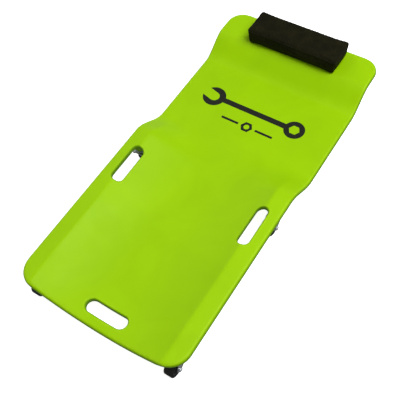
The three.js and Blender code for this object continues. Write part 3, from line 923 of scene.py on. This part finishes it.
def roundedBox(low, high, radius, step):
    # a box whose points are the nearest on a smaller core box, pushed out by the radius
    work = bmesh.new()
    bmesh.ops.create_cube(work, size=1)
    longest = max(h - l for l, h in zip(low, high))
    bmesh.ops.subdivide_edges(work, edges=work.edges, cuts=round(longest / step),
                              use_grid_fill=True)
    mesh = bpy.data.meshes.new("box")
    work.to_mesh(mesh)
    work.free()
    low, high = np.array(low), np.array(high)
    points = low + (places(mesh) + 0.5) * (high - low)
    core = np.clip(points, low + radius, high - radius)
    away = points - core
    length = np.linalg.norm(away, axis=1, keepdims=True)
    setPlaces(mesh, core + away / np.maximum(length, 1e-9) * radius)
    return mesh


def buildPad(look):
    # a foam block swollen by simulation, then flattened below where it lies on the board and the
    # deck, seamed and puckered
    p = padShape
    low, high = [np.array(corner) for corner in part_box("head_pad")]
    boardLow, boardHigh = [np.array(corner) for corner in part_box("pad_board")]
    middle = (low + high) / 2
    shrink = np.array([p["shrink"]] * 3)
    mesh = roundedBox(low + shrink * [0, 1, 0], high - shrink * [0, 1, 1], p["corner"], p["voxel"])
    points = places(mesh)
    fall = (high[2] - points[:, 2]) / (high[2] - low[2])
    points[:, 0] -= np.sign(points[:, 0] - middle[0]) * p["tuck"] * fall
    setPlaces(mesh, points)
    pad = placed("headPad", mesh)
    blownUp(pad, p)
    smooth = pad.modifiers.new("smooth", "SUBSURF")
    smooth.levels = smooth.render_levels = 2
    applyModifiers(pad)

    points = places(pad.data)
    points[:, 2] = np.clip(points[:, 2], low[2], high[2])
    underBoard = (np.abs(points[:, :2] - middle[:2])
                  < (boardHigh - boardLow)[:2] / 2 + 0.4 * mm).all(1)
    lift = underBoard & (points[:, 2] < boardHigh[2])
    points[lift, 2] = boardHigh[2] + p["gap"]
    deck = deckTop(points[:, 0], points[:, 1] - deckLow[1]) + p["gap"]
    share = 1 - smoothStep(points[:, 2], low[2], low[2] + p["drape"])
    points[:, 2] -= np.where(underBoard, 0, np.clip(low[2] - deck, 0, None) * share)
    setPlaces(pad.data, points)
    normals = places(pad.data, "normal")
    seamZ = high[2] - p["seamDrop"]
    fromSeam = points[:, 2] - seamZ
    groove = np.exp(-(fromSeam / p["seamWidth"]) ** 2)
    corners = np.abs(points[:, :2] - middle[:2]) - (high - low)[:2] / 2
    fromCorner = np.abs(corners[:, 0] - corners[:, 1]) / math.sqrt(2)
    onSide = (np.abs(normals[:, 2]) < 0.5) & (points[:, 2] < seamZ)
    groove = np.maximum(groove, np.where(onSide, np.exp(-(fromCorner / p["seamWidth"]) ** 2), 0))
    around = points[:, 0] + points[:, 1]
    wave = np.sin(around * 2 * math.pi / p["puckerLength"]
                  + 1.3 * np.sin(around * 2 * math.pi / (4.3 * p["puckerLength"])))
    pucker = p["pucker"] * wave * np.exp(-np.abs(fromSeam) / (5 * mm)) * (np.abs(fromSeam) > mm)
    setPlaces(pad.data, points - normals * (p["seamDepth"] * groove + pucker)[:, None])
    finishPiece(pad, rootBody, look, 60)
    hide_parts("head_pad")
    return pad


def buildStitches(pad, look):
    # short humps of thread laid on the pad's side under the seam: at each pitch along the
    # rounded outline a ray finds the vinyl, and a bent tube with pointed ends stands on it
    p = padShape
    low, high = [np.array(corner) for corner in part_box("head_pad")]
    middle, half, radius = (low + high) / 2, (high - low)[:2] / 2, p["stitchCorner"]
    z = high[2] - p["seamDrop"] - p["stitchDrop"]
    straightX, straightY = 2 * (half[0] - radius), 2 * (half[1] - radius)
    bendLength = math.pi / 2 * radius
    total = 2 * (straightX + straightY) + 4 * bendLength
    tree = BVHTree.FromObject(pad, bpy.context.evaluated_depsgraph_get())
    patches = Patches()
    runs = np.cumsum([0] + [straightX, bendLength, straightY, bendLength] * 2)
    headings = [0, 0, 90, 90, 180, 180, 270, 270]
    sides = np.array([[1, -1], [1, 1], [-1, 1], [-1, -1]])
    for distance in np.arange(0, total, p["stitch"]):
        run = int(np.searchsorted(runs, distance, side="right")) - 1
        into = distance - runs[run]
        turn = math.radians(headings[run])
        core = middle[:2] + sides[run // 2] * (half - radius)
        if run % 2 == 0:
            ahead = np.array([math.cos(turn), math.sin(turn)])
            plan = core - ahead * ((straightX if run % 4 == 0 else straightY) - into)
        else:
            turn += into / radius
            plan = core
        out = np.array([math.sin(turn), -math.cos(turn)])
        ahead = np.array([math.cos(turn), math.sin(turn), 0])
        start = Vector((*(plan + out * (radius + 12 * mm)), z))
        hit, normal, _, _ = tree.ray_cast(start, Vector((-out[0], -out[1], 0)))
        if hit is None:
            continue
        up = np.array(normal)
        side = np.cross(up, ahead)
        t = np.linspace(-1, 1, 7)[:, None, None]
        angle = np.linspace(0, 2 * math.pi, 6, endpoint=False)[None, :, None]
        thick = p["threadRadius"] * np.sqrt(np.clip(1 - t ** 4, 0.04, 1))
        spine = np.array(hit) + ahead * t * p["stitch"] * 0.42 + up * (
            p["threadRadius"] * (0.75 - 1.3 * t ** 4))
        patches.tube(spine + thick * (side * np.cos(angle) + up * np.sin(angle)))
    return addMesh("padStitches", patches, rootBody, look)


markShape = {
    "handleHalf": 8.5 * mm,
    "ringAt": 117 * mm,
    "ringRadius": 29 * mm,
    "ringFlats": 27 * mm,        # across flats of the ring's hexagon
    "jawAt": 134 * mm,
    "jawRadius": 33 * mm,
    "jawOpening": 30 * mm,
    "jawTurn": 15,               # degrees between the jaw and the handle
    "nutFlats": 30 * mm,
    "nutHole": 8 * mm,
    "stripe": (52 * mm, 7 * mm),
    "stripeFrom": 26 * mm,       # from the nut's centre to where a stripe starts
    "rowGap": 52 * mm,
    "y": 220.5 * mm,
    "ink": 0.12 * mm,
}


def wrenchOutline():
    # walked anticlockwise: round the ring, along the handle, round the jaw and into its mouth
    m = markShape
    handle, ring, jaw, mouth = m["handleHalf"], m["ringRadius"], m["jawRadius"], m["jawOpening"] / 2
    ringMeet = math.degrees(math.asin(handle / ring))
    jawMeet = math.degrees(math.asin(handle / jaw))
    lip = math.degrees(math.asin(mouth / jaw))
    facing = 180 - m["jawTurn"]
    jawCentre = (-m["jawAt"], 0)
    return profile(arc((m["ringAt"], 0), ring, ringMeet - 180, 180 - ringMeet, 49),
                   arc(jawCentre, jaw, jawMeet, facing - lip, 17),
                   arc(jawCentre, mouth, facing - 90, facing - 270, 17),
                   arc(jawCentre, jaw, facing + lip, 360 - jawMeet, 25))


def hexagonOutline(flats, centre):
    return arc(centre, cornerRadius(flats), 0, 300, 6)


def buildMark(look):
    # flat printed shapes: a spanner with a nut and two stripes under it
    m = markShape
    row = -m["rowGap"]
    long, tall = m["stripe"]
    loops = [wrenchOutline(), hexagonOutline(m["ringFlats"], (m["ringAt"], 0)),
             hexagonOutline(m["nutFlats"], (0, row)), arc((0, row), m["nutHole"], 0, 345, 24)]
    for side in (-1, 1):
        near, far = side * m["stripeFrom"], side * (m["stripeFrom"] + long)
        loops.append(np.array([(near, row - tall / 2), (far, row - tall / 2),
                               (far, row + tall / 2), (near, row + tall / 2)]))
    curve = bpy.data.curves.new("printedMark", "CURVE")
    curve.dimensions = "2D"
    curve.fill_mode = "BOTH"
    curve.extrude = m["ink"] / 2
    for loop in loops:
        spline = curve.splines.new("POLY")
        spline.points.add(len(loop) - 1)
        flat = np.column_stack([loop, np.zeros(len(loop)), np.ones(len(loop))])
        spline.points.foreach_set("co", flat.ravel())
        spline.use_cyclic_u = True
    holder = placed("markCurve", curve)
    mesh = bpy.data.meshes.new_from_object(
        holder.evaluated_get(bpy.context.evaluated_depsgraph_get()))
    bpy.data.objects.remove(holder)
    bed = railTop - deckShape["shoulderDrop"]
    setPlaces(mesh, places(mesh) + [0, m["y"], bed + m["ink"] / 2 + 0.01 * mm])
    piece = placed("printedMark", mesh)
    finishPiece(piece, rootBody, look, 30)
    return piece


# Finishes. Their patterns read Object coordinates in metres, so they keep their real size.

finishColours = {                # screen colours: the two of the mottling, then any third
    "vinyl": ((0.095, 0.09, 0.035), (0.13, 0.125, 0.05), (0.035, 0.035, 0.025)),
    "thread": ((0.07, 0.07, 0.06), (0.17, 0.16, 0.14)),
    "ink": ((0.07, 0.085, 0.03), (0.20, 0.27, 0.03)),
    "rubber": ((0.05, 0.05, 0.053), (0.17, 0.165, 0.15)),
    "nylon": ((0.14, 0.145, 0.155), (0.22, 0.22, 0.23)),
    "zinc": ((0.66, 0.68, 0.70), (0.82, 0.83, 0.84), (0.50, 0.50, 0.47)),
    "spring": ((0.30, 0.31, 0.33), (0.48, 0.49, 0.50), (0.24, 0.20, 0.17)),
    "board": ((0.42, 0.29, 0.18), (0.60, 0.45, 0.30), (0.25, 0.16, 0.10)),
}


def linear(screen):
    # a screen colour, 0 to 1, as the light that it stands for
    value = np.asarray(screen, float)
    light = np.where(value <= 0.04045, value / 12.92, ((value + 0.055) / 1.055) ** 2.4)
    return (*light.tolist(), 1.0)


class Finish:
    # a material and its shader; each call adds one node and gives back the node's output
    def __init__(self, name, sockets):
        self.material = bpy.data.materials.new(name)
        self.material.use_nodes = True
        self.nodes = self.material.node_tree.nodes
        self.links = self.material.node_tree.links
        self.shader = self.nodes["Principled BSDF"]
        for socket, value in sockets.items():
            self.shader.inputs[socket].default_value = value

    def join(self, value, socket):
        if isinstance(value, bpy.types.NodeSocket):
            self.links.new(value, socket)
        else:
            socket.default_value = value

    def at(self, scale=(1, 1, 1), turn=(0, 0, 0)):
        coordinates = self.nodes.new("ShaderNodeTexCoord")
        mapping = self.nodes.new("ShaderNodeMapping")
        mapping.inputs["Scale"].default_value = scale
        mapping.inputs["Rotation"].default_value = [math.radians(angle) for angle in turn]
        self.links.new(coordinates.outputs["Object"], mapping.inputs["Vector"])
        return mapping.outputs["Vector"]

    def noise(self, size, detail=2.0, roughness=0.5, warp=0.0, at=None):
        # size is the length of one wave, in metres
        node = self.nodes.new("ShaderNodeTexNoise")
        self.links.new(at or self.at(), node.inputs["Vector"])
        node.inputs["Scale"].default_value = 1 / size
        node.inputs["Detail"].default_value = detail
        node.inputs["Roughness"].default_value = roughness
        node.inputs["Distortion"].default_value = warp
        return node.outputs["Fac"]

    def cells(self, size, at=None):
        node = self.nodes.new("ShaderNodeTexVoronoi")
        self.links.new(at or self.at(), node.inputs["Vector"])
        node.inputs["Scale"].default_value = 1 / size
        return node.outputs["Distance"]

    def attribute(self, name):
        node = self.nodes.new("ShaderNodeAttribute")
        node.attribute_name = name
        return node.outputs["Fac"]

    def spread(self, value, low, high, toLow, toHigh):
        # value's range low to high taken to toLow to toHigh, held at both ends
        node = self.nodes.new("ShaderNodeMapRange")
        for socket, given in zip(node.inputs[:5], (value, low, high, toLow, toHigh)):
            self.join(given, socket)
        return node.outputs["Result"]

    def combine(self, operation, first, second):
        node = self.nodes.new("ShaderNodeMath")
        node.operation = operation
        self.join(first, node.inputs[0])
        self.join(second, node.inputs[1])
        return node.outputs["Value"]

    def blend(self, first, second, share):
        node = self.nodes.new("ShaderNodeMix")
        node.data_type = "RGBA"
        self.join(share, node.inputs["Factor"])
        self.join(first, node.inputs["A"])
        self.join(second, node.inputs["B"])
        return node.outputs["Result"]

    def mottled(self, key, share, low=0.35, high=0.65):
        # the finish's first two colours, blended as share goes from low to high
        first, second = [linear(colour) for colour in finishColours[key][:2]]
        return self.blend(first, second, self.spread(share, low, high, 0, 1))

    def bump(self, height, distance, under=None):
        # distance is the relief in metres that a height of 1 stands for
        node = self.nodes.new("ShaderNodeBump")
        node.inputs["Distance"].default_value = distance
        self.links.new(height, node.inputs["Height"])
        if under:
            self.links.new(under, node.inputs["Normal"])
        return node.outputs["Normal"]

    def done(self, colour, roughness, normal=None):
        self.join(colour, self.shader.inputs["Base Color"])
        self.join(roughness, self.shader.inputs["Roughness"])
        if normal:
            self.links.new(normal, self.shader.inputs["Normal"])
        return self.material


plasticLook = {
    "colour": (0.625, 0.825, 0.0),
    "deeper": (0.60, 0.80, 0.0),
    # paler green: real wear in the hairline scratches, and a painted highlight on the rounded crests
    "worn": (0.71, 0.87, 0.15),
    "wall": (0.42, 0.60, 0.0),   # painted shade: the rim and slot walls a darker green
    "roughness": (0.40, 0.50),
    "grain": 0.9 * mm,
    "grainHeight": 0.03 * mm,
    "ripple": 46 * mm,
    "rippleHeight": 0.25 * mm,
    "scratches": 0.10,
}


def plasticFinish():
    # moulded lime plastic: slight mottling, fine leather-like grain, long ripples from the mould, a
    # few hairline scratches along the bed, a painted highlight on the rounded crests broken up like
    # rubbed wear, and painted shade that makes the rim and slot walls a deeper green
    p = plasticLook
    finish = Finish("limePlastic", {"IOR": 1.5, "Specular IOR Level": 0.25,
                                    "Specular Tint": (0.8, 1.0, 0.35, 1)})
    mottle = finish.noise(160 * mm, 3, 0.55, 0.6)
    speck = finish.noise(1.1 * mm, 2)
    colour = finish.blend(linear(p["deeper"]), linear(p["colour"]),
                          finish.spread(mottle, 0.35, 0.65, 0, 1))
    colour = finish.blend(colour, linear(p["deeper"]), finish.spread(speck, 0.55, 0.75, 0, 0.35))
    hair = finish.noise(1.0, 3, 0.6, 0.3, finish.at((520, 9, 40), (0, 0, 11)))
    cross = finish.noise(1.0, 3, 0.6, 0.3, finish.at((14, 470, 40), (0, 0, -7)))
    patchy = finish.spread(finish.noise(75 * mm, 2), 0.5, 0.66, 0, 1)
    line = finish.combine("MAXIMUM", finish.spread(hair, 0.70, 0.76, 0, 1),
                          finish.spread(cross, 0.71, 0.77, 0, 0.8))
    scratch = finish.combine("MULTIPLY", line, patchy)
    colour = finish.blend(colour, linear(p["worn"]),
                          finish.combine("MULTIPLY", scratch, p["scratches"]))
    rub = finish.spread(finish.noise(14 * mm, 4, 0.6), 0.42, 0.7, 0, 1)
    closeness = finish.attribute("edge")
    # painted highlight: a paler band over the rounded crest of the rim and slot edges, made patchy by
    # the rub noise
    crestHighlight = finish.combine("MULTIPLY", finish.spread(closeness, 0.25, 0.5, 0, 1),
                           finish.spread(closeness, 0.55, 0.75, 1, 0))
    edge = finish.combine("MULTIPLY", crestHighlight, rub)
    colour = finish.blend(colour, linear(p["worn"]), finish.combine("MULTIPLY", edge, 0.5))
    # painted shade: the rim and slot walls turned a deeper green
    colour = finish.blend(colour, linear(p["wall"]), finish.spread(closeness, 0.68, 0.97, 0, 1))
    rough = finish.spread(finish.noise(60 * mm, 4, 0.6), 0.35, 0.65, *p["roughness"])
    rough = finish.combine("ADD", rough, finish.combine("MULTIPLY", scratch, 0.15))
    rough = finish.combine("ADD", rough, finish.combine("MULTIPLY", edge, 0.12))
    ripple = finish.bump(finish.noise(p["ripple"], 1), p["rippleHeight"])
    grain = finish.bump(finish.cells(p["grain"]), p["grainHeight"], ripple)
    scored = finish.bump(finish.combine("SUBTRACT", 1.0, scratch), 0.02 * mm, grain)
    return finish.done(colour, rough, scored)


def vinylFinish():
    # near-black upholstery vinyl: pebbled grain, darker in the hollows between the pebbles, finer
    # pores
    finish = Finish("blackVinyl", {"Specular IOR Level": 0.06})
    pebble = finish.cells(1.5 * mm, finish.at((1, 1.15, 1)))
    pore = finish.noise(0.5 * mm, 2)
    cloud = finish.noise(30 * mm, 3)
    # the hollows between the pebbles turn darker
    colour = finish.blend(finish.mottled("vinyl", cloud), linear(finishColours["vinyl"][2]),
                          finish.spread(pebble, 0.45, 0.8, 0, 0.6))
    rough = finish.spread(pebble, 0.1, 0.7, 0.56, 0.74)
    crease = finish.bump(finish.noise(9 * mm, 3, 0.55), 0.25 * mm)
    grain = finish.bump(pebble, -0.10 * mm, crease)
    return finish.done(colour, rough, finish.bump(pore, 0.03 * mm, grain))


def threadFinish():
    # black bonded thread, a fine diagonal twist along it
    finish = Finish("blackThread", {"Specular IOR Level": 0.3, "Sheen Weight": 0.2})
    twist = finish.noise(0.35 * mm, 1, 0.5, 0, finish.at((1, 1, 2.2), (0, 35, 35)))
    return finish.done(finish.mottled("thread", twist, 0.4, 0.62),
                       finish.spread(twist, 0.3, 0.7, 0.5, 0.75),
                       finish.bump(twist, 0.08 * mm))


def inkFinish():
    # black screen print: slightly uneven, thinner in pinholes, with the plastic's grain showing
    finish = Finish("blackInk", {"Specular IOR Level": 0.35})
    thin = finish.spread(finish.noise(1.6 * mm, 3, 0.7), 0.62, 0.76, 0, 0.5)
    colour = finish.blend(*[linear(ink) for ink in finishColours["ink"]], thin)
    rough = finish.spread(finish.noise(8 * mm, 2), 0.3, 0.7, 0.42, 0.55)
    return finish.done(colour, rough, finish.bump(finish.cells(plasticLook["grain"]), 0.03 * mm))


def rubberFinish():
    # hard black tyre rubber: matt, with a greyer scuffed and dusty tread
    finish = Finish("tyreRubber", {"Specular IOR Level": 0.3})
    scuff = finish.noise(3 * mm, 5, 0.7, 0.5)
    tread = finish.combine("MULTIPLY", finish.attribute("wear"),
                           finish.spread(scuff, 0.4, 0.65, 0.25, 1))
    colour = finish.blend(*[linear(grey) for grey in finishColours["rubber"]], tread)
    rough = finish.spread(scuff, 0.3, 0.7, 0.6, 0.82)
    return finish.done(colour, rough, finish.bump(scuff, 0.12 * mm))


def hubFinish():
    # dark grey moulded nylon: mottled, with a spark-eroded grain
    finish = Finish("greyNylon", {"Specular IOR Level": 0.4})
    mottle = finish.noise(7 * mm, 3, 0.6)
    return finish.done(finish.mottled("nylon", mottle),
                       finish.spread(mottle, 0.3, 0.7, 0.42, 0.6),
                       finish.bump(finish.noise(0.5 * mm, 2), 0.05 * mm))


def steelFinish(name, key, roughness):
    # plated or oiled steel: cloudy plating, fine rolling lines, a few dull spots
    finish = Finish(name, {"Metallic": 1.0})
    cloud = finish.noise(6 * mm, 4, 0.6, 0.4)
    rolled = finish.noise(1.0, 2, 0.5, 0, finish.at((250, 2400, 250)))
    spot = finish.spread(finish.noise(2.2 * mm, 3, 0.7), 0.64, 0.74, 0, 0.7)
    colour = finish.blend(finish.mottled(key, cloud), linear(finishColours[key][2]), spot)
    rough = finish.combine("ADD", finish.spread(cloud, 0.3, 0.7, *roughness),
                           finish.combine("MULTIPLY", spot, 0.3))
    return finish.done(colour, rough, finish.bump(rolled, 0.012 * mm))


def boardFinish():
    # pressed hardboard: brown flecked fibres and a slightly woven face
    finish = Finish("hardboard", {"Specular IOR Level": 0.2})
    fibre = finish.noise(1.0, 4, 0.65, 1.2, finish.at((260, 900, 600), (0, 0, 25)))
    fleck = finish.noise(1.3 * mm, 3, 0.7)
    colour = finish.blend(finish.mottled("board", fibre), linear(finishColours["board"][2]),
                          finish.spread(fleck, 0.6, 0.72, 0, 0.7))
    return finish.done(colour, finish.spread(fibre, 0.3, 0.7, 0.7, 0.9),
                       finish.bump(fibre, 0.08 * mm))


looks = {
    "plastic": plasticFinish(),
    "vinyl": vinylFinish(),
    "thread": threadFinish(),
    "ink": inkFinish(),
    "rubber": rubberFinish(),
    "hub": hubFinish(),
    "zinc": steelFinish("zincPlate", "zinc", (0.24, 0.42)),
    "spring": steelFinish("springSteel", "spring", (0.3, 0.5)),
    "board": boardFinish(),
}
print("finishes made")

buildDeck(looks["plastic"])
buildRibs(looks["plastic"])
buildSockets(looks["plastic"])
for piece in ("deckShell", "deckRibs", "casterSockets"):
    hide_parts("deck")
print("deck made")

headPad = buildPad(looks["vinyl"])
buildStitches(headPad, looks["thread"])
buildPadScrews(looks["zinc"])
buildMark(looks["ink"])
print("head pad and print made")

buildCasters(looks)
print("casters made")

# CAD nodes that stay: the board inside the pad, and the spring rings in the sockets
for name, node in frame["nodes"].items():
    look = "board" if name == "pad_board" else "spring" if name.endswith("grip_ring") else None
    if look:
        node.data.materials.clear()
        node.data.materials.append(looks[look])

studio = {
    "floorColour": (0.93, 0.93, 0.93),
    "floorGlow": 0.9,
    "floorReach": 12.0,          # metres each way
    "keyPower": 148,
    "keySize": 2.8,
    "keyDirection": (0.40, 0.14, 0.90),
    "keyDistance": 4.2,
    "fillPower": 14,
    "fillSize": 2.4,
    "fillDistance": 3.0,
    "fillDirection": (-0.62, 0.15, 0.75),
    "sky": [(-0.15, 0.26), (0.0, 0.55), (0.15, 0.55), (0.6, 0.14)],    # height, brightness
}

camera = {
    "target": (38.1 * mm, -114.4 * mm, 95 * mm),
    "distance": 1.63,
    "azimuth": 40.51,
    "elevation": 57.14,
    "roll": -9.263,
    "lens": 60.25,
}


def aimed(thing, place, ahead, right):
    # turns a light or camera so that it looks along ahead with right to its right
    ahead, right = Vector(ahead).normalized(), Vector(right).normalized()
    up = right.cross(ahead)
    turn = Matrix((right, up, -ahead)).transposed()
    thing.matrix_world = Matrix.Translation(place) @ turn.to_4x4()


def areaLight(name, power, size, direction, distance):
    lamp = bpy.data.lights.new(name, "AREA")
    lamp.shape = "DISK"
    lamp.size = size
    lamp.energy = power
    out = Vector(direction).normalized()
    aimed(placed(name, lamp), out * distance, -out, Vector((0, 0, 1)).cross(out))


def buildStudio():
    # pale floor that glows a little but throws no light back up, a large key light, a dim fill,
    # and a sky that is pale near the horizon and dim overhead and below
    s = studio
    mesh = bpy.data.meshes.new("floor")
    reach = s["floorReach"]
    mesh.from_pydata([(-reach, -reach, 0), (reach, -reach, 0), (reach, reach, 0),
                      (-reach, reach, 0)], [], [(0, 1, 2, 3)])
    floor = placed("floor", mesh)
    finish = Finish("paleFloor", {"Specular IOR Level": 0.0, "Emission Strength": s["floorGlow"],
                                  "Emission Color": (1, 1, 1, 1)})
    mesh.materials.append(finish.done(linear(s["floorColour"]), 0.9))
    floor.visible_diffuse = floor.visible_glossy = False
    areaLight("key", s["keyPower"], s["keySize"], s["keyDirection"], s["keyDistance"])
    areaLight("fill", s["fillPower"], s["fillSize"], s["fillDirection"], s["fillDistance"])

    world = bpy.data.worlds.new("studioSky")
    world.use_nodes = True
    bpy.context.scene.world = world
    nodes, links = world.node_tree.nodes, world.node_tree.links
    direction = nodes.new("ShaderNodeTexCoord")
    split = nodes.new("ShaderNodeSeparateXYZ")
    height = nodes.new("ShaderNodeMapRange")
    height.inputs["From Min"].default_value = -1
    ramp = nodes.new("ShaderNodeValToRGB")
    while len(ramp.color_ramp.elements) < len(s["sky"]):
        ramp.color_ramp.elements.new(1)
    for stop, (z, level) in zip(ramp.color_ramp.elements, s["sky"]):
        stop.position = (z + 1) / 2
        stop.color = (level, level, level, 1)
    links.new(direction.outputs["Generated"], split.inputs["Vector"])
    links.new(split.outputs["Z"], height.inputs["Value"])
    links.new(height.outputs["Result"], ramp.inputs["Fac"])
    links.new(ramp.outputs["Color"], nodes["Background"].inputs["Color"])


def buildCamera():
    # stands back from the target at the azimuth and elevation, then rolls about its own view
    c = camera
    azimuth, elevation, roll = [math.radians(c[k]) for k in ("azimuth", "elevation", "roll")]
    ahead = Vector((-math.sin(azimuth) * math.cos(elevation),
                    math.cos(azimuth) * math.cos(elevation), -math.sin(elevation)))
    level = Vector((math.cos(azimuth), math.sin(azimuth), 0))
    right = math.cos(roll) * level + math.sin(roll) * level.cross(ahead)
    lens = bpy.data.cameras.new("camera")
    lens.lens = c["lens"]
    lens.sensor_width = 36
    thing = placed("camera", lens)
    aimed(thing, Vector(c["target"]) - ahead * c["distance"], ahead, right)
    bpy.context.scene.camera = thing


buildStudio()
buildCamera()
bpy.context.scene.view_settings.view_transform = "Standard"
print("studio made")
